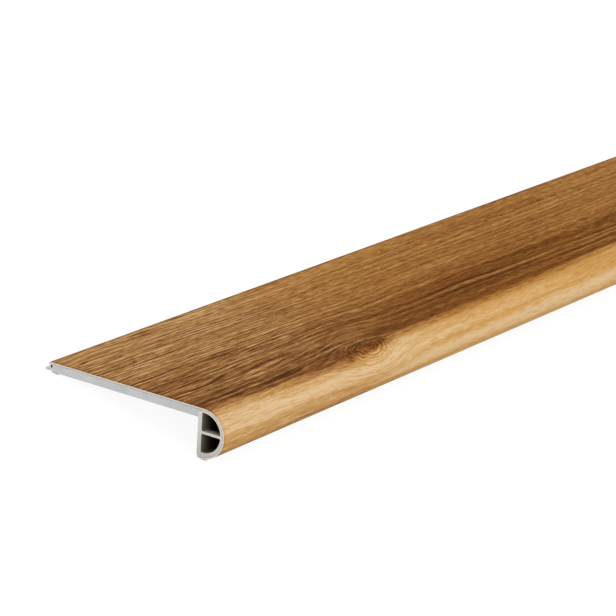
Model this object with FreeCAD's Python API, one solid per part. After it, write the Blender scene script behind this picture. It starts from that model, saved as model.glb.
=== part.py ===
import FreeCAD, Part
import math
import os

# Flush stair nosing: a stair tread edge made of a rigid core board with a milled locking edge,
# a hollow half-round nose profile bonded to its front, and a wood-look vinyl layer wrapped over both.
# The section is drawn as installed, in millimetres: x runs forward from the nose's back face,
# z runs up from the walking face. It is then leaned back until it lies by itself on a floor.

# Driving dimensions
length = 2400.0              # as sold
board_thickness = 5.0        # walking face to underside
walking_depth = 95.3         # rear edge of the walking face to the nose's back face
nose_height = 26.0           # walking face to the nose's underside

# Vinyl layer
wrap_thickness = 1.0
wrap_underlap = 0.4          # how far the layer runs back under the nose, past its half round
bevel_width = 0.6            # fine bevel along the rear edge
bevel_drop = 0.3

# Nose profile
back_wall = 2.4
top_wall = 1.1
front_wall = 1.2
bottom_wall = 2.3
web_thickness = 1.3
web_root_radius = 0.9        # where the web leaves the back wall
heel_radius = 2.6            # lower back corner
heel_flat = 0.2              # from that corner to the shoulder that the vinyl layer ends against
chamber_corner_radius = 0.4
lap_shoulder = 0.5           # back wall left standing behind the board's front tongue

# Locking edge
slot_roof = 0.25             # core left between the slot and the vinyl layer
slot_height = 1.75
slot_depth = 2.2             # rear edge to the bottom of the slot
slot_corner_radius = 0.6
catch_width = 0.9            # bottom of the slot to the hook
hook_rise = 1.1              # hook's crown above the slot's floor
hook_radius = 0.7
lip_reach = 2.1              # rear edge out to the lip's tip
lip_thickness = 0.8          # slot's floor to the lip's underside
tip_drop = 0.8               # foot of the hook's crown down to the top of the tip
tip_chamfer = 0.2
root_setback = 1.9           # rear edge forward to where the board's underside starts
root_slope = 0.25            # run of the slope from the underside up to the lip

# Tells one corner of the section from the next
closeness = 0.0001

# Places that several pieces share
rear_edge = -walking_depth
board_top = -wrap_thickness
board_bottom = -board_thickness
ledge_z = board_top - top_wall
lap_length = back_wall - lap_shoulder
nose_radius = nose_height / 2
nose_bottom = -nose_height
profile_bottom = nose_bottom + wrap_thickness
lip_tip = rear_edge - lip_reach
board_foot = rear_edge + root_setback
wrap_end = heel_radius + heel_flat
nose_flat = wrap_end + wrap_underlap


def point(x, z):
    return FreeCAD.Vector(x, -length / 2, z)


def run(*corners):
    """Straight edges through the corners in turn."""
    return [Part.LineSegment(point(*a), point(*b)).toShape() for a, b in zip(corners, corners[1:])]


def bend(start, through, end):
    """One circular edge."""
    return [Part.Arc(point(*start), point(*through), point(*end)).toShape()]


def front_round(radius):
    """Half round of the nose, from its top to its bottom, about the nose's centre."""
    top, front, bottom = ((nose_flat, radius - nose_radius),
                          (nose_flat + radius, -nose_radius),
                          (nose_flat, -radius - nose_radius))
    return bend(top, front, bottom)


def extruded(edges):
    """Solid of the full length whose section the edges enclose."""
    return Part.Face(Part.Wire(edges)).extrude(FreeCAD.Vector(0, length, 0))


def round_long_edges(solid, radius, corners):
    """Fillets the lengthwise edges that run through the given corners of the section."""
    places = [point(*corner) for corner in corners]
    chosen = [edge for edge in solid.Edges
              if abs(edge.Length - length) < closeness
              and any(vertex.Point.distanceToPoint(place) < closeness
                      for vertex in edge.Vertexes for place in places)]
    return solid.makeFillet(radius, chosen)


def locking_edge():
    """Rear edge of the core, from its top corner to the underside: slot, hooked lip, slope under the lip."""
    slot_top = board_top - slot_roof
    slot_floor = slot_top - slot_height
    slot_end = rear_edge + slot_depth
    hook_face = slot_end - catch_width
    hook_crown = slot_floor + hook_rise
    hook_foot = hook_crown - hook_radius
    hook_back = hook_face - 2 * hook_radius
    lip_bottom = slot_floor - lip_thickness
    slot = run((rear_edge, board_top), (rear_edge, slot_top), (slot_end, slot_top),
               (slot_end, slot_floor), (hook_face, slot_floor), (hook_face, hook_foot))
    hook = bend((hook_face, hook_foot), (hook_face - hook_radius, hook_crown), (hook_back, hook_foot))
    lip = run((hook_back, hook_foot), (lip_tip, hook_foot - tip_drop),
              (lip_tip, lip_bottom + tip_chamfer), (lip_tip + tip_chamfer, lip_bottom),
              (board_foot - root_slope, lip_bottom), (board_foot, board_bottom))
    return slot + hook + lip, [(slot_end, slot_top), (slot_end, slot_floor)]


def core_board():
    """Flat core with its locking edge behind and a tongue in front that laps the nose profile."""
    rear, slot_corners = locking_edge()
    front = run((board_foot, board_bottom), (0, board_bottom), (0, ledge_z),
                (lap_length, ledge_z), (lap_length, board_top), (rear_edge, board_top))
    return round_long_edges(extruded(rear + front), slot_corner_radius, slot_corners)


def chamber(side):
    """Hollow of the nose above (side 1) or below (side -1) its web."""
    hollow_radius = (nose_height - 2 * wrap_thickness - top_wall - bottom_wall) / 2
    centre_x = nose_flat + nose_radius - wrap_thickness - front_wall - hollow_radius
    centre_z = ledge_z - hollow_radius
    near_web = side * web_thickness / 2
    reach = math.sqrt(hollow_radius ** 2 - near_web ** 2)
    halfway = math.radians(45) * side
    outer = centre_z + side * hollow_radius
    corners = [(back_wall, outer), (back_wall, centre_z + near_web), (centre_x + reach, centre_z + near_web)]
    curve = bend(corners[-1],
                 (centre_x + hollow_radius * math.cos(halfway), centre_z + hollow_radius * math.sin(halfway)),
                 (centre_x, outer))
    hollow = extruded(run(*corners) + curve + run((centre_x, outer), corners[0]))
    hollow = round_long_edges(hollow, chamber_corner_radius, corners[::2])
    return round_long_edges(hollow, web_root_radius, corners[1:2])


def nose_profile():
    """Half-round extrusion with two chambers, a web between them and a ledge for the core's tongue."""
    heel_top = nose_bottom + heel_radius
    eased = heel_radius * (1 - math.sqrt(0.5))
    top = run((lap_length, board_top), (nose_flat, board_top))
    shoulder = run((nose_flat, profile_bottom), (wrap_end, profile_bottom), (wrap_end, nose_bottom),
                   (heel_radius, nose_bottom))
    heel = bend((heel_radius, nose_bottom), (eased, nose_bottom + eased), (0, heel_top))
    back = run((0, heel_top), (0, ledge_z), (lap_length, ledge_z), (lap_length, board_top))
    body = extruded(top + front_round(nose_radius - wrap_thickness) + shoulder + heel + back)
    return body.cut(chamber(1)).cut(chamber(-1))


def wood_look_wrap():
    """Printed vinyl layer, in one sheet from the rear edge over the walking face and round the nose."""
    face = run((rear_edge, board_top), (rear_edge, -bevel_drop), (rear_edge + bevel_width, 0), (nose_flat, 0))
    edge = run((nose_flat, nose_bottom), (wrap_end, nose_bottom), (wrap_end, profile_bottom),
               (nose_flat, profile_bottom))
    inner = front_round(nose_radius - wrap_thickness)
    back = run((nose_flat, board_top), (rear_edge, board_top))
    return extruded(face + front_round(nose_radius) + edge + inner + back)


def resting_lean():
    """Angle at which a floor that touches the underside's rear edge also touches the nose's heel."""
    across = heel_radius - board_foot
    down = board_bottom - (nose_bottom + heel_radius)
    return math.atan2(down, across) + math.asin(heel_radius / math.hypot(across, down))


def resting_place():
    """Placement that leans the section back onto the underside's rear edge and the nose's heel."""
    turn = FreeCAD.Rotation(FreeCAD.Vector(0, 1, 0), -math.degrees(resting_lean()))
    return FreeCAD.Placement(FreeCAD.Vector(0, 0, 0), turn)


def main():
    pieces = {"core_board": core_board(), "nose_profile": nose_profile(), "wood_look_wrap": wood_look_wrap()}
    leaned = resting_place()
    for shape in pieces.values():
        shape.transformShape(leaned.toMatrix())
    box = Part.makeCompound(list(pieces.values())).optimalBoundingBox()
    to_origin = FreeCAD.Vector(-box.Center.x, -box.Center.y, -box.ZMin)
    os.makedirs("parts", exist_ok=True)
    for name, shape in pieces.items():
        shape.translate(to_origin)
        shape.exportStep(f"parts/{name}.step")
        print(name, "valid", shape.isValid(), "volume", round(shape.Volume), "solids", len(shape.Solids))
    print("size", round(box.XLength, 2), round(box.YLength, 2), round(box.ZLength, 2))


main()
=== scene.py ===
from math import asin, cos, degrees, radians, sin, tau
import bpy
import bmesh
import numpy as np
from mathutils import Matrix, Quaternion, Vector


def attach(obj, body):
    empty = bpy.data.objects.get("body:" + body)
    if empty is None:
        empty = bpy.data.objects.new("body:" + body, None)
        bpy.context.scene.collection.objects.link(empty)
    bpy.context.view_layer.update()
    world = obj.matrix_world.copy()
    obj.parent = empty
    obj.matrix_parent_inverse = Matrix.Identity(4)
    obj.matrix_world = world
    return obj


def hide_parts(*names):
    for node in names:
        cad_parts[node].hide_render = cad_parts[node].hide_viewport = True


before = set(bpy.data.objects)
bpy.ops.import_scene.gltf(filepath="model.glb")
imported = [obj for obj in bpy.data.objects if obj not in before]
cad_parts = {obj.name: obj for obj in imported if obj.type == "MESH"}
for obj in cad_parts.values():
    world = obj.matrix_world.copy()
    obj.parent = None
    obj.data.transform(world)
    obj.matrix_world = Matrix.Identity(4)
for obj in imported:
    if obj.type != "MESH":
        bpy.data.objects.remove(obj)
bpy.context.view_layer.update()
print("frame loaded with nodes", sorted(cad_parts))

# The section is drawn as installed, in mm: x forward from the nose's back face, z up from the walking face
lie = {
    "lean": 12.374304,                      # degrees, back onto the underside's rear edge
    "shift": (37.748558, 24.899210),        # mm, forward and up onto the floor
    "length": 2400.0,
    "sharp": 32.0,                          # degrees; edges that turn more are left sharp
}


def layDown(x, z):
    # the section turned back by the lean, then shifted so that it stands on the floor, in metres
    a = radians(lie["lean"])
    forward = x * cos(a) - z * sin(a) + lie["shift"][0]
    up = x * sin(a) + z * cos(a) + lie["shift"][1]
    return forward / 1000, up / 1000


def roundPath(centre, radius, start, end, steps):
    # points at equal angles on a circle, in degrees, 0 forward and 90 up
    a = np.radians(np.linspace(start, end, steps + 1))
    return np.stack([centre[0] + radius * np.cos(a), centre[1] + radius * np.sin(a)], 1)


def joinPaths(*paths):
    # the paths end to end; a point that two of them share is kept once
    points = np.concatenate([np.asarray(path, dtype=float) for path in paths])
    apart = np.linalg.norm(points - np.roll(points, 1, 0), axis=1) > 1e-6
    return points[apart]


def carrySection(name, outlines, stations, endKind=0):
    # each closed outline is carried along the length: row i of its grid is the outline at station i, and the
    # strip after point j takes material slot kinds[j]; both cut ends are filled between the outlines
    places, quads, slots, count = [], [], [], 0
    for points, kinds in outlines:
        n, rows = len(points), len(stations)
        grid = np.empty((rows, n, 3))
        grid[..., 0], grid[..., 2] = layDown(points[:, 0], points[:, 1])
        grid[..., 1] = stations[:, None] / 1000
        i, j = np.meshgrid(np.arange(rows - 1), np.arange(n), indexing="ij")
        k = (j + 1) % n
        corners = np.stack([i * n + j, i * n + n + j, i * n + n + k, i * n + k], -1)
        quads.append(corners.reshape(-1, 4) + count)
        slots.append(np.tile(kinds, rows - 1))
        places.append(grid.reshape(-1, 3))
        count += rows * n
    mesh = bpy.data.meshes.new(name)
    mesh.from_pydata(np.concatenate(places).tolist(), [], np.concatenate(quads).tolist())
    mesh.polygons.foreach_set("material_index", np.concatenate(slots).astype(np.int32))
    shell = bmesh.new()
    shell.from_mesh(mesh)
    rim = [edge for edge in shell.edges if edge.is_boundary]
    for side in (-1, 1):
        edges = [edge for edge in rim if edge.verts[0].co.y * side > 0]
        filled = bmesh.ops.triangle_fill(shell, use_beauty=True, edges=edges, normal=(0, side, 0))
        for item in filled["geom"]:
            if isinstance(item, bmesh.types.BMFace):
                item.material_index = endKind
    bmesh.ops.recalc_face_normals(shell, faces=shell.faces)
    shell.to_mesh(mesh)
    shell.free()
    mesh.shade_smooth()
    mesh.set_sharp_from_angle(angle=radians(lie["sharp"]))
    piece = bpy.data.objects.new(name, mesh)
    bpy.context.collection.objects.link(piece)
    return piece


def dress(piece, node, slot, *materials):
    # finishes, the CAD node that the piece stands for, its record slot, which is not used, and its body
    for material in materials:
        piece.data.materials.append(material)
    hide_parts(node)
    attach(piece, "root")


def ink(code):
    # sRGB hex to linear
    srgb = [int(code[k:k + 2], 16) / 255 for k in (1, 3, 5)]
    return [c / 12.92 if c <= 0.04045 else ((c + 0.055) / 1.055) ** 2.4 for c in srgb] + [1.0]


def addNode(tree, kind, inputs=None, stops=None, **settings):
    # one node with its settings; an input given as a socket is linked, any other is set; stops fill a ramp
    node = tree.nodes.new(kind)
    for key, value in settings.items():
        setattr(node, key, value)
    for key, value in (inputs or {}).items():
        if isinstance(value, bpy.types.NodeSocket):
            tree.links.new(value, node.inputs[key])
        else:
            node.inputs[key].default_value = value
    for k, (place, colour) in enumerate(stops or []):
        element = node.color_ramp.elements[k] if k < 2 else node.color_ramp.elements.new(place)
        element.position, element.color = place, ink(colour)
    return node


def calc(tree, operation, *values):
    # one sum on sockets or numbers
    return addNode(tree, "ShaderNodeMath", dict(enumerate(values)), operation=operation).outputs[0]


def carryRange(tree, value, source, target=(0.0, 1.0), smooth=False):
    # the source range carried onto the target range and held at both ends
    node = addNode(tree, "ShaderNodeMapRange", {
        "Value": value, "From Min": source[0], "From Max": source[1],
        "To Min": target[0], "To Max": target[1]}, interpolation_type="SMOOTHSTEP" if smooth else "LINEAR")
    return node.outputs["Result"]


def newMaterial(name):
    material = bpy.data.materials.new(name)
    material.use_nodes = True
    material.node_tree.nodes.clear()
    return material, material.node_tree


def finishMaterial(tree, look, colour, height, pits=False):
    # shader with a fine relief, raised where the height is high, or sunk there for pits
    relief = addNode(tree, "ShaderNodeBump", {
        "Height": height, "Distance": look["reliefMm"] / 1000, "Strength": 0.4}, invert=pits)
    shader = addNode(tree, "ShaderNodeBsdfPrincipled", {
        "Base Color": colour, "Roughness": look["roughness"], "Specular IOR Level": look["specular"],
        "Normal": relief.outputs["Normal"]})
    addNode(tree, "ShaderNodeOutputMaterial", {"Surface": shader.outputs["BSDF"]})


# Core board, with the click edge milled along its rear
coreBoard = {
    "rear": -95.3, "top": -1.0, "bottom": -5.0, "tongue": 1.9, "ledge": -2.1,
    "slotTop": -1.25, "slotFloor": -3.0, "slotEnd": -93.1, "slotCorner": 0.6,
    "hookFace": -94.0, "hookRadius": 0.7, "hookFoot": -2.6,
    "tip": -97.4, "tipTop": -3.4, "lipBottom": -3.8, "chamfer": 0.2, "foot": -93.4, "slope": 0.25,
    "slotSteps": 6, "hookSteps": 18,                        # straight pieces in each round
}


def coreOutline(c):
    # corners in turn, anticlockwise, with rounds on the hook and in the slot's two corners
    r, k = c["slotCorner"], c["hookRadius"]
    front = [(c["foot"], c["bottom"]), (0, c["bottom"]), (0, c["ledge"]), (c["tongue"], c["ledge"]),
             (c["tongue"], c["top"]), (c["rear"], c["top"]), (c["rear"], c["slotTop"])]
    slotHigh = roundPath((c["slotEnd"] - r, c["slotTop"] - r), r, 90, 0, c["slotSteps"])
    slotLow = roundPath((c["slotEnd"] - r, c["slotFloor"] + r), r, 0, -90, c["slotSteps"])
    catch = [(c["hookFace"], c["slotFloor"])]
    hook = roundPath((c["hookFace"] - k, c["hookFoot"]), k, 0, 180, c["hookSteps"])
    lip = [(c["tip"], c["tipTop"]), (c["tip"], c["lipBottom"] + c["chamfer"]),
           (c["tip"] + c["chamfer"], c["lipBottom"]), (c["foot"] - c["slope"], c["lipBottom"])]
    points = joinPaths(front, slotHigh, slotLow, catch, hook, lip)
    kinds = np.zeros(len(points), dtype=int)
    crown = len(points) - len(lip) - len(hook) // 2 - 1
    # the slot's faces take the waxed finish, whose near black is painted shade
    kinds[len(front) - 1:crown] = 1                         # inside the slot, up to the hook's crown
    return points, kinds


# Stone-plastic composite: ground limestone in PVC, pressed; matt light grey, finely speckled where it is sawn
stoneCore = {
    "tones": [(0.55, "#B0B1B2"), (0.8, "#BDBEBF"), (1.0, "#C7C6C5")],
    "speckMm": 0.5, "cloudMm": 9.0, "cloudShare": 0.6, "reliefMm": 0.06, "roughness": 0.6, "specular": 0.5,
}
# the same, milled and sealed with wax in the lock's slot, with a dull shine; its near black is painted shade
# inside the slot
waxedShadedCore = {
    "tones": [(0.55, "#2F3031"), (0.8, "#38393A"), (1.0, "#434444")],
    "speckMm": 0.5, "cloudMm": 9.0, "cloudShare": 0.6, "reliefMm": 0.06, "roughness": 0.4, "specular": 0.5,
}


def stonePlastic(name, look):
    # specks over softer clouds
    material, tree = newMaterial(name)
    place = addNode(tree, "ShaderNodeTexCoord").outputs["Object"]
    specks = addNode(tree, "ShaderNodeTexNoise", {
        "Vector": place, "Scale": 1000 / look["speckMm"], "Detail": 2.0}).outputs["Fac"]
    clouds = addNode(tree, "ShaderNodeTexNoise", {
        "Vector": place, "Scale": 1000 / look["cloudMm"], "Detail": 2.0}).outputs["Fac"]
    tone = calc(tree, "MULTIPLY_ADD", clouds, look["cloudShare"], specks)
    colour = addNode(tree, "ShaderNodeValToRGB", {"Fac": tone}, look["tones"]).outputs["Color"]
    finishMaterial(tree, look, colour, specks)
    return material


# Nose profile, a hollow half round with one web
noseProfile = {
    "top": -1.0, "bottom": -26.0, "flat": 3.2, "radius": 12.0, "lap": 1.9, "ledge": -2.1,
    "shoulder": 2.8, "shoulderTop": -25.0, "heel": 2.6,
    "backWall": 2.4, "hollowCentre": (3.7, -12.4), "hollowRadius": 10.3,
    "web": 1.3, "corner": 0.4, "webRoot": 0.9,
    # straight pieces in each round
    "frontSteps": 72, "heelSteps": 16, "hollowSteps": 48, "cornerSteps": 8, "rootSteps": 12,
}


def noseOutline(p):
    # half round in front, ledge and flat back behind, rounded heel and shoulder below, anticlockwise
    h = p["heel"]
    front = roundPath((p["flat"], p["top"] - p["radius"]), p["radius"], -90, 90, p["frontSteps"])
    back = [(p["lap"], p["top"]), (p["lap"], p["ledge"]), (0, p["ledge"])]
    heel = roundPath((h, p["bottom"] + h), h, 180, 270, p["heelSteps"])
    under = [(p["shoulder"], p["bottom"]), (p["shoulder"], p["shoulderTop"])]
    points = joinPaths(front, back, heel, under)
    return points, np.zeros(len(points), dtype=int)


def chamberOutline(p, side):
    # quarter round between the back wall and the web, rounded in its corners, clockwise; side 1 is above the
    # web, side -1 below it
    (cx, cz), big, x = p["hollowCentre"], p["hollowRadius"], p["backWall"]
    web, r, root = p["web"] / 2, p["corner"], p["webRoot"]
    tipTurn = degrees(asin((web + r) / (big - r)))
    tipForward = cx + (big - r) * cos(radians(tipTurn))
    tip = roundPath((tipForward, web + r), r, -90, tipTurn, p["cornerSteps"])
    curve = roundPath((cx, 0), big, tipTurn, 90, p["hollowSteps"])
    top = roundPath((x + r, big - r), r, 90, 180, p["cornerSteps"])
    rootRound = roundPath((x + root, web + root), root, 180, 270, p["rootSteps"])
    points = joinPaths(tip, curve, top, rootRound) * (1, side) + (0, cz)
    kinds = np.ones(len(points), dtype=int)
    kinds[-1] = 2                                           # the web's face closes the outline
    if side > 0:                                            # turned round, strip j then lies before its point
        points, kinds = points[::-1], np.roll(kinds[::-1], -1)
    return points, kinds


# Rigid PVC, extruded: matt pale grey with faint die lines along its length, darker low down by painted shade;
# inside the chambers the walls are darkened by painted shade, more so deeper in from the cut
nosePvc = {
    "tones": [(0.3, "#C4C0B9"), (0.62, "#D3CFC9")], "lineMm": 0.5, "linesPerMetre": 3.0,
    "shadeLowMm": 18, "shadeLowShare": 0.72, "reliefMm": 0.04, "roughness": 0.42, "specular": 0.5,
    # painted shade inside the chambers: colour at the cut and deeper in, and between how many mm in it
    # changes
    "walls": ("#857C6E", "#3A3428", 0.8, 8), "web": ("#EAE2D8", "#241F18", 0.8, 5),
}


def rigidPvc(name, look, insideShade=None):
    material, tree = newMaterial(name)
    place = addNode(tree, "ShaderNodeTexCoord").outputs["Object"]
    drawn = addNode(tree, "ShaderNodeMapping", {"Vector": place, "Scale": (
        1000 / look["lineMm"], look["linesPerMetre"], 1000 / look["lineMm"])}).outputs["Vector"]
    lines = addNode(tree, "ShaderNodeTexNoise", {"Vector": drawn, "Scale": 1.0, "Detail": 2.0}).outputs["Fac"]
    colour = addNode(tree, "ShaderNodeValToRGB", {"Fac": lines}, look["tones"]).outputs["Color"]
    _, along, height = addNode(tree, "ShaderNodeSeparateXYZ", {"Vector": place}).outputs
    # painted shade: darker towards the bottom of the part
    lowShade = carryRange(tree, height, (0.0, look["shadeLowMm"] / 1000), (look["shadeLowShare"], 1.0))
    colour = addNode(tree, "ShaderNodeMix", {"Factor": 1.0, 6: colour, 7: lowShade}, data_type="RGBA",
                     blend_type="MULTIPLY").outputs[2]
    # painted shade inside the chambers, darker deeper in from the cut end
    if insideShade:                                                 # by the depth in from the nearer cut end
        atCut, deeper, start, full = insideShade
        half = lie["length"] / 2
        off = calc(tree, "ABSOLUTE", along)
        depth = carryRange(tree, off, ((half - start) / 1000, (half - full) / 1000))
        insideShadeColour = addNode(tree, "ShaderNodeValToRGB", {"Fac": depth}, [
            (0.0, atCut), (1.0, deeper)]).outputs["Color"]
        colour = addNode(tree, "ShaderNodeMix", {"Factor": 1.0, 6: colour, 7: insideShadeColour}, data_type="RGBA",
                         blend_type="MULTIPLY").outputs[2]
    finishMaterial(tree, look, colour, lines)
    return material


# Printed layer, one sheet from the rear edge over the walking face and round the nose
anywhere, fromRear, toEnd = (-100, 50), (-20, 10), (200, 1)     # stretches that leave nothing out
printedWrap = {
    "rear": -95.3, "thick": 1.0, "bevel": (0.6, 0.3), "flat": 3.2, "radius": 13.0, "end": 2.8,
    "fineFrom": -36.0, "topPoints": (37, 57),               # finer grid from here on, for the thin streaks
    "noseSteps": 60, "glueSteps": 24,
    "nearMm": 480.0, "nearStep": 3.0, "farStep": 6.0,       # lengthwise spacing of the grid
    # how far the grain lines drift towards the nose, in mm, with the start and run along the sheet, and the
    # middle and half width across it
    "drifts": [(7, (138, 52), (78, 18)), (7, (-40, 230), (36, 26)), (4, (250, 180), (80, 12)),
               (-3, (180, 140), (117, 6))],
    # bumps in the lines: height, middle and half length, middle and half width
    "bumps": [(2, (265, 30), (76, 14)), (1.8, (80, 28), (80, 10))],
    "ripples": [(0.35, 31, -21), (0.15, 12, 8)],            # height, mm along and mm across to a radian
    "sweep": (13, (460, 500), 260),                         # height, start and run, mm to a radian
    # darkness of the print by distance from the rear edge: brown, darkest before the nose, pale round it, and
    # palest high on the nose's curve, partly a painted highlight
    "zoneMm": (0, 14, 44, 53, 58, 68, 89, 93, 97, 101, 104, 108, 112, 117),
    "zoneDark": (0.36, 0.43, 0.47, 0.55, 0.585, 0.635, 0.61, 0.75, 0.765, 0.71, 0.44, 0.14, 0.05, 0.07),
    # shifts of the zones towards the nose, each with its start and run, and a slow sway farther on
    "zoneStart": -0.5, "zoneShifts": [(4.2, (0, 110)), (-6.0, (131, 36)), (-1.5, (230, 150))],
    "zoneSway": (2.5, (430, 200), 170),
    # further changes of darkness: start and run along the sheet, and across it where they rise and fall
    "shades": [
        (0.3, anywhere, fromRear, (1.4, 1.6)),              # painted bevel
        (0.05, (110, 160), fromRear, (36, 10)),             # brown wood behind
        (0.02, (260, 100), fromRear, (50, 8)),
        (0.15, (110, 160), (81, 4), (91.5, 2)),             # dark wood before the nose
        (-0.07, (110, 160), (91.5, 2), (95, 2)),
        (-0.14, (260, 100), (81, 4), (88, 2)),
        (0.13, (130, 100), (101.5, 2.5), toEnd),            # pale wood round the nose
        (-0.06, (130, 100), (108.5, 4), toEnd),
        (-0.06, (130, 100), (117, 3), toEnd),
        (0.06, (260, 100), (104, 3), (113, 4)),
        (0.2, anywhere, (115, 7), toEnd),                   # darker and more golden low on the nose, only near the first end: painted shade
        (-0.2, (100, 90), (115, 7), toEnd),
        (0.14, anywhere, (124.3, 2.5), toEnd),              # painted shade lowest on the nose, where it turns under
    ],
    "cutEndShade": (0.14, 3.0),                                 # painted shadow line at the saw cuts, and how many mm in
    # long streaks that begin along the first stretch: where, which grain line, half width in mm, darkness
    "bands": [(95, 71.3, 1.3, 0.3), (150, 74.5, 1.1, -0.08), (140, 78.1, 1.2, 0.16), (150, 81.9, 1.3, -0.07),
              (150, 85.9, 1.3, 0.1), (150, 89.6, 1.2, -0.06), (150, 93.2, 1.2, 0.06), (150, 98.2, 1.2, 0.04),
              (160, 64.5, 2.5, 0.08), (280, 66, 3.5, 0.05), (150, 59.5, 3, -0.03), (150, 36, 5, 0.06),
              (150, 116.6, 1.5, 0.07), (150, 121.4, 1.7, -0.06)],
    "bandRun": 60,
    # how much fainter the lines get along the sheet, how much less so in the dark wood, and how much on the
    # nose, each with its start and run
    "faint": [(0.64, (120, 90)), (0.1, (52, 14)), (0.6, (94, 11))],
    # growth rings counted from the rear edge, wider apart in the dark wood
    "ringMm": (0, 55, 98, 130), "ringCount": (0, 20, 30, 37.5),
    # knots: place along and across the sheet, half length and half width in mm, how dark the heart is
    "knots": [(136.5, 103.4, 15, 8.6, 0.24), (760, 30, 12, 5, 0.3), (1180, 66, 20, 9, 0.22),
              (1690, 112, 18, 8, 0.3), (2180, 24, 15, 7, 0.3)],
    "knotHold": 0.85, "knotReach": 1.7,                     # how much the lines are held back, how far out
    "heartWide": (-0.1, 0.42), "heartLong": (0.05, 0.6),    # heart's middle and half size, shares of the knot
    # long eyes in the figure: place, half length and half width
    "eyes": [(980, 40, 190, 13), (1480, 82, 230, 12), (2020, 55, 210, 14)], "eyeHold": 0.7,
}


def wrapOutline(w):
    # printed face from the rear edge over the top and round to the underside, then the glued face back again;
    # only the strips of the printed face take slot 0
    t, r = w["thick"], w["radius"]
    over, drop = w["bevel"]
    rear = [(w["rear"], -t), (w["rear"], -drop)]
    coarse = np.linspace(w["rear"] + over, w["fineFrom"], w["topPoints"][0])[:-1]
    fine = np.linspace(w["fineFrom"], w["flat"], w["topPoints"][1])
    top = [(x, 0) for x in (*coarse, *fine)]
    front = roundPath((w["flat"], -r), r, 90, -90, w["noseSteps"])
    under = [(w["end"], -2 * r), (w["end"], -2 * r + t)]
    outer = joinPaths(rear, top, front, under)
    inner = roundPath((w["flat"], -r), r - t, -90, 90, w["glueSteps"])
    points = joinPaths(outer, inner)
    kinds = np.ones(len(points), dtype=int)
    kinds[1:len(outer) - 2] = 0
    return points, kinds, len(outer)


def easeIn(value, start, run):
    # 0 before the start, 1 after the run, smooth between
    t = np.clip((value - start) / run, 0, 1)
    return t * t * (3 - 2 * t)


def bell(value, middle, half):
    # 1 in the middle, about a third at the half width, then soon 0
    return np.exp(-((value - middle) / half) ** 2)


def grainFigure(across, along, w):
    # a grain line's number is its distance from the rear edge, less its drift, plus bumps and ripples
    lines = across
    for size, stretch, strip in w["drifts"]:
        lines = lines - size * easeIn(along, *stretch) * bell(across, *strip)
    for size, spot, strip in w["bumps"]:
        lines = lines + size * bell(along, *spot) * bell(across, *strip)
    for size, alongMm, acrossMm in w["ripples"]:
        lines = lines + size * np.sin(along / alongMm + across / acrossMm)
    # darkness is read from the zones at the line's number less the zones' shift; shades and bands are added
    size, stretch, radianMm = w["zoneSway"]
    shift = w["zoneStart"] + size * easeIn(along, *stretch) * np.sin(along / radianMm)
    for size, stretch in w["zoneShifts"]:
        shift = shift + size * easeIn(along, *stretch)
    dark = np.interp(lines - shift, w["zoneMm"], w["zoneDark"])
    for size, stretch, rise, fall in w["shades"]:
        strip = easeIn(across, *rise) * (1 - easeIn(across, *fall))
        dark = dark + size * easeIn(along, *stretch) * strip
    for start, line, half, size in w["bands"]:
        dark = dark + size * easeIn(along, start, w["bandRun"]) * bell(lines, line, half)
    # a painted shadow line along both saw cuts
    size, reach = w["cutEndShade"]
    dark = dark + size * np.clip(1 - np.minimum(along, lie["length"] - along) / reach, 0, 1)
    # lines stand out most near the first end and in the dark wood, and least on the pale nose
    (later, stretch), (less, darkWood), (pale, noseFrom) = w["faint"]
    vivid = 1 - easeIn(along, *stretch) * (later - less * easeIn(across, *darkWood))
    vivid = vivid * (1 - pale * easeIn(across, *noseFrom))
    # the numbers sway farther on, and inside eyes and knots they are held back, so that lines part round them
    size, stretch, radianMm = w["sweep"]
    lines = lines + size * easeIn(along, *stretch) * np.sin((along - stretch[0]) / radianMm)
    for placeAlong, placeAcross, halfLength, halfWidth in w["eyes"]:
        inside = bell(along, placeAlong, halfLength) * bell(across, placeAcross, halfWidth)
        lines = lines - w["eyeHold"] * (across - placeAcross) * inside
    # knot is the distance from the nearest knot's middle, 1 at its border
    knot = np.full(across.shape, 9.0)                       # far from any
    for placeAlong, placeAcross, halfLength, halfWidth, heartDark in w["knots"]:
        sideways, lengthways = (across - placeAcross) / halfWidth, (along - placeAlong) / halfLength
        radius = np.hypot(sideways, lengthways)
        lines = lines - w["knotHold"] * (across - placeAcross) * bell(radius, 0, w["knotReach"])
        knot = np.minimum(knot, radius)
        dark = dark + heartDark * bell(sideways, *w["heartWide"]) * bell(lengthways, *w["heartLong"])
    rings = np.interp(lines, w["ringMm"], w["ringCount"])
    return lines, knot, dark, rings, vivid


def buildWrap(w):
    near = np.arange(0, w["nearMm"], w["nearStep"])
    far = np.linspace(w["nearMm"], lie["length"], int((lie["length"] - w["nearMm"]) / w["farStep"]) + 1)
    along = np.concatenate([near, far])
    points, kinds, outerCount = wrapOutline(w)
    # the outline runs clockwise, so it is turned round, and strip j then lies before its point
    piece = carrySection("wood_print_sheet", [(points[::-1], np.roll(kinds[::-1], -1))],
                         along - lie["length"] / 2, endKind=1)
    distance = np.zeros(len(points))
    distance[1:outerCount] = np.cumsum(np.linalg.norm(np.diff(points[:outerCount], axis=0), axis=1))
    depth = np.ones(len(points))
    depth[1:outerCount - 1] = 0.0                           # 0 on the printed face, 1 on the glued face
    acrossGrid = np.tile(distance[::-1], len(along))
    alongGrid = np.repeat(along, len(points))
    lines, knot, dark, rings, vivid = grainFigure(acrossGrid, alongGrid, w)
    for name, values in {
            "grainPlace": (lines, alongGrid, knot),         # mm, mm, share of the knot's radius
            "sheetPlace": (acrossGrid, alongGrid, np.tile(depth[::-1], len(along))),
            "sheetTone": (dark, rings, vivid)}.items():
        layer = piece.data.attributes.new(name, "FLOAT_VECTOR", "POINT")
        layer.data.foreach_set("vector", np.stack(values, 1).astype(np.float32).ravel())
    return piece


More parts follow.
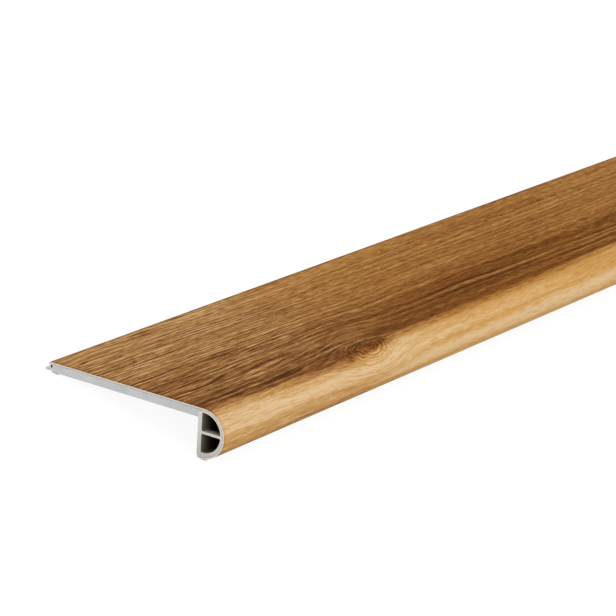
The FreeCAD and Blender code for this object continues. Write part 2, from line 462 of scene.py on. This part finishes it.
# Printed vinyl: an oak print under a clear wear layer with a fine emboss; satin, with dark streaks and pores
oakPrint = {
    # tones of the print from the palest sapwood to the darkest line
    "tones": [(0.0, "#CDAF85"), (0.2, "#BE935A"), (0.4, "#A97A42"), (0.6, "#8B592B"), (0.8, "#6D4015"),
              (1.0, "#4A290A")],
    # noise cells' width and length in mm
    "cells": {"cloud": (24, 190), "vein": (4.5, 180), "streak": (1.2, 16), "fine": (0.7, 8),
              "breaks": (2.2, 16), "wander": (9, 80), "swirl": (5, 8), "pore": (0.45, 7)},
    "weights": {"cloud": 0.14, "vein": 0.26, "streak": 0.45, "fine": 0.8},
    # growth lines, first fine, then coarse: waves to a ring, and the noise's width in rings and length in mm
    "growth": [(1.0, 0.33, 42), (0.62, 0.5, 220)], "growthTurnMm": (110, 200),
    "growthWave": 0.12, "growthWander": 2.4, "growthFrom": (0.25, 0.75), "growthDark": (-0.43, 0.43),
    "breaksFrom": (0.36, 0.58), "breaksShare": (0.5, 1.0),  # weaker and full stretches of a growth line
    "poreFrom": (0.52, 0.66), "poreDark": (-0.045, 0.3),    # where a pore sets in; darkness off and on it
    # rings inside a knot: count, bend and strength, and by the knot's radius where they fade and set in
    "knotRings": 5.0, "knotSwirl": 0.6, "knotDark": (-0.17, 0.0),
    "knotFade": (0.7, 2.0), "knotSetIn": (0.35, 0.9),
    "paleFrom": (0.2, 0.45), "paleShare": (0.62, 1.0),      # how much of it shows on pale and on darker wood
    "richerMm": (90, 230), "richer": (0.975, 1.03),         # the colour is fuller from there on
    "reliefMm": 0.06, "roughness": 0.55, "specular": 0.02,
}


def printedVinyl(look):
    material, tree = newMaterial("printed vinyl, oak look")
    grain = addNode(tree, "ShaderNodeAttribute", attribute_name="grainPlace").outputs["Vector"]
    sheet = addNode(tree, "ShaderNodeAttribute", attribute_name="sheetPlace").outputs["Vector"]
    tone = addNode(tree, "ShaderNodeAttribute", attribute_name="sheetTone").outputs["Vector"]
    knot = addNode(tree, "ShaderNodeSeparateXYZ", {"Vector": grain}).outputs["Z"]
    along = addNode(tree, "ShaderNodeSeparateXYZ", {"Vector": sheet}).outputs["Y"]
    dark, rings, vivid = addNode(tree, "ShaderNodeSeparateXYZ", {"Vector": tone}).outputs
    noise = {}
    for name, (wide, long) in look["cells"].items():
        cells = addNode(tree, "ShaderNodeMapping", {        # each noise begins at a place of its own
            "Vector": sheet if name == "swirl" else grain, "Scale": (1 / wide, 1 / long, 0),
            "Location": (wide, long, 0)}).outputs["Vector"]
        noise[name] = addNode(tree, "ShaderNodeTexNoise", {
            "Vector": cells, "Scale": 1.0, "Detail": 2.0, "Roughness": 0.55}).outputs["Fac"]
    # streaks are the weighted sum of four noises, about zero
    streaks = -sum(look["weights"].values()) / 2
    for name, weight in look["weights"].items():
        streaks = calc(tree, "MULTIPLY_ADD", noise[name], weight, streaks)
    # growth lines: waves on the ring count, led astray by one noise, broken up by another that follows them
    astray = calc(tree, "MULTIPLY_ADD", noise["wander"], look["growthWander"], rings)
    place = addNode(tree, "ShaderNodeCombineXYZ", {"X": astray, "Y": along}).outputs["Vector"]
    layers = []
    for waves, wide, long in look["growth"]:
        wave = calc(tree, "SINE", calc(tree, "MULTIPLY", astray, tau * waves))
        cells = addNode(tree, "ShaderNodeMapping", {
            "Vector": place, "Scale": (1 / wide, 1 / long, 0)}).outputs["Vector"]
        broken = addNode(tree, "ShaderNodeTexNoise", {
            "Vector": cells, "Scale": 1.0, "Detail": 1.0}).outputs["Fac"]
        layers.append(calc(tree, "MULTIPLY_ADD", wave, look["growthWave"], broken))
    later = carryRange(tree, along, look["growthTurnMm"], smooth=True)
    growth = addNode(tree, "ShaderNodeMix", {"Factor": later, 2: layers[0], 3: layers[1]}).outputs[0]
    growth = carryRange(tree, growth, look["growthFrom"], look["growthDark"])
    strong = carryRange(tree, noise["breaks"], look["breaksFrom"], look["breaksShare"])
    streaks = calc(tree, "MULTIPLY_ADD", calc(tree, "MULTIPLY", growth, vivid), strong, streaks)
    # pores are short thin dark dashes where the finest noise is high; the wood between is a little paler
    pores = carryRange(tree, noise["pore"], look["poreFrom"], look["poreDark"])
    streaks = calc(tree, "MULTIPLY_ADD", pores, vivid, streaks)
    # a knot's rings follow its own radius, bent by a swirl, and fade where the straight grain takes over
    bent = calc(tree, "MULTIPLY_ADD", noise["swirl"], look["knotSwirl"], knot)
    wave = calc(tree, "SINE", calc(tree, "MULTIPLY", bent, tau * look["knotRings"]))
    inside = carryRange(tree, knot, look["knotFade"], look["knotDark"], smooth=True)
    inside = calc(tree, "MULTIPLY", inside, carryRange(tree, bent, look["knotSetIn"]))
    streaks = calc(tree, "MULTIPLY_ADD", wave, inside, streaks)
    # all of that is calmer on the pale wood
    calm = carryRange(tree, dark, look["paleFrom"], look["paleShare"])
    dark = calc(tree, "MULTIPLY_ADD", streaks, calm, dark)
    colour = addNode(tree, "ShaderNodeValToRGB", {"Fac": dark}, look["tones"]).outputs["Color"]
    richer = carryRange(tree, along, look["richerMm"], look["richer"])
    colour = addNode(tree, "ShaderNodeHueSaturation", {
        "Saturation": richer, "Color": colour}).outputs["Color"]
    finishMaterial(tree, look, colour, streaks, pits=True)
    return material


# Calendered vinyl: the sheet's own body where it is cut, pale, with a grey film of glue on its inner side
vinylBody = {
    "tones": [(0.35, "#CAC4BA"), (0.6, "#D8D2C9")], "mottleMm": 1.2,
    "glue": "#8D867D", "glueFrom": (0.6, 0.85),             # share of the thickness where the film sets in
    "reliefMm": 0.03, "roughness": 0.5, "specular": 0.5,
}


def cutVinyl(look):
    material, tree = newMaterial("calendered vinyl, cut edge")
    sheet = addNode(tree, "ShaderNodeAttribute", attribute_name="sheetPlace").outputs["Vector"]
    depth = addNode(tree, "ShaderNodeSeparateXYZ", {"Vector": sheet}).outputs["Z"]
    place = addNode(tree, "ShaderNodeTexCoord").outputs["Object"]
    noise = addNode(tree, "ShaderNodeTexNoise", {
        "Vector": place, "Scale": 1000 / look["mottleMm"]}).outputs["Fac"]
    body = addNode(tree, "ShaderNodeValToRGB", {"Fac": noise}, look["tones"]).outputs["Color"]
    film = carryRange(tree, depth, look["glueFrom"])
    colour = addNode(tree, "ShaderNodeMix", {"Factor": film, 6: body, 7: ink(look["glue"])},
                     data_type="RGBA").outputs[2]
    finishMaterial(tree, look, colour, noise)
    return material


ends = np.array([-lie["length"] / 2, lie["length"] / 2])

core = carrySection("core_board_sawn", [coreOutline(coreBoard)], ends)
dress(core, "core_board", "rigid_core", stonePlastic("stone-plastic core, sawn", stoneCore),
      stonePlastic("stone-plastic core, waxed, in painted shade", waxedShadedCore))
print("core board made")

nose = carrySection("nose_profile_extruded", [noseOutline(noseProfile), chamberOutline(noseProfile, 1),
                                              chamberOutline(noseProfile, -1)], ends)
dress(nose, "nose_profile", "nose_pvc", rigidPvc("rigid PVC, extruded", nosePvc),
      rigidPvc("rigid PVC, walls in painted shade", nosePvc, nosePvc["walls"]),
      rigidPvc("rigid PVC, web in painted shade", nosePvc, nosePvc["web"]))
print("nose profile made")

wrap = buildWrap(printedWrap)
dress(wrap, "wood_look_wrap", "wood_look_vinyl", printedVinyl(oakPrint), cutVinyl(vinylBody))
print("printed layer made,", len(wrap.data.polygons), "faces")

# Studio: a white floor, an even sky and broad soft lights, the strongest on the nose's side
studio = {
    "sky": 0.5, "floorShade": "#E4E4E4", "floorSeen": 0.1, "floorGlow": 0.92, "floorHalf": 9.0,
    # painted contact shadow, a dark line where the part touches the floor: its reach, its glow and the shares
    # of open space it spans
    "contactMm": 1.0, "contactGlow": 0.22, "contactFrom": (0.3, 0.95),
    # direction towards the light, strength, width in degrees
    "lights": {"nose_side": ((0.80, -0.35, 0.48), 1.5, 50), "overhead": ((-0.15, 0.1, 1.0), 0.95, 80),
               "front_fill": ((0.30, -0.85, 0.45), 0.55, 60)},
    "lightAway": 3,                                         # times its direction, from the middle of the part
}


def whiteFloor(look):
    # paper for the light that bounces, and for what looks at it a faint diffuse share over an even white
    material, tree = newMaterial("white paper floor")
    rays = addNode(tree, "ShaderNodeLightPath").outputs
    seen = calc(tree, "MAXIMUM", rays["Is Camera Ray"], rays["Is Glossy Ray"])
    seen = calc(tree, "MAXIMUM", seen, rays["Is Transmission Ray"])
    paper = addNode(tree, "ShaderNodeBsdfDiffuse", {"Color": ink(look["floorShade"])})
    faint = addNode(tree, "ShaderNodeBsdfDiffuse", {"Color": (look["floorSeen"],) * 3 + (1.0,)})
    # painted contact shadow: the glow dims where the part is close
    near = addNode(tree, "ShaderNodeAmbientOcclusion", {"Distance": look["contactMm"] / 1000}, samples=12)
    glowing = (look["contactGlow"], look["floorGlow"])
    contact = carryRange(tree, near.outputs["AO"], look["contactFrom"], glowing)
    glow = addNode(tree, "ShaderNodeEmission", {"Strength": contact})
    lit = addNode(tree, "ShaderNodeAddShader", {0: faint.outputs["BSDF"], 1: glow.outputs["Emission"]})
    both = addNode(tree, "ShaderNodeMixShader", {
        "Fac": seen, 1: paper.outputs["BSDF"], 2: lit.outputs["Shader"]})
    addNode(tree, "ShaderNodeOutputMaterial", {"Surface": both.outputs["Shader"]})
    return material


half = studio["floorHalf"]
corners = [(-half, -half, 0), (half, -half, 0), (half, half, 0), (-half, half, 0)]
floorMesh = bpy.data.meshes.new("paper_floor")
floorMesh.from_pydata(corners, [], [(0, 1, 2, 3)])
floorMesh.materials.append(whiteFloor(studio))
floor = bpy.data.objects.new("paper_floor", floorMesh)
bpy.context.collection.objects.link(floor)

world = bpy.data.worlds.new("even sky")
world.use_nodes = True
world.node_tree.nodes.clear()
sky = addNode(world.node_tree, "ShaderNodeBackground", {"Color": (1, 1, 1, 1), "Strength": studio["sky"]})
addNode(world.node_tree, "ShaderNodeOutputWorld", {"Surface": sky.outputs["Background"]})
bpy.context.scene.world = world

for name, (toward, strength, width) in studio["lights"].items():
    lamp = bpy.data.lights.new(name, "SUN")
    lamp.energy = strength
    lamp.angle = radians(width)
    light = bpy.data.objects.new(name, lamp)
    light.location = Vector(toward) * studio["lightAway"]
    light.rotation_mode = "QUATERNION"
    light.rotation_quaternion = (-Vector(toward)).to_track_quat("-Z", "Y")
    bpy.context.collection.objects.link(light)
print("floor and lights set")

# Camera: where the photograph was taken from, in metres and degrees; lens and sensor in mm
shot = {
    "eye": (0.71245, -2.26925, 0.67299), "aim": (0.067695, -1.173142, 0.087462), "roll": 14.5484,
    "lens": 170.177, "sensor": 36.0, "farthest": 50.0,
}
lens = bpy.data.cameras.new("photo_view")
lens.sensor_width = shot["sensor"]
lens.lens = shot["lens"]
lens.clip_end = shot["farthest"]
camera = bpy.data.objects.new("photo_view", lens)
camera.location = shot["eye"]
ahead = Vector(shot["aim"]) - camera.location
camera.rotation_mode = "QUATERNION"
camera.rotation_quaternion = ahead.to_track_quat("-Z", "Y") @ Quaternion((0, 0, 1), radians(shot["roll"]))
bpy.context.collection.objects.link(camera)
bpy.context.scene.camera = camera

bpy.context.scene.view_settings.view_transform = "Standard"
print("scene ready")
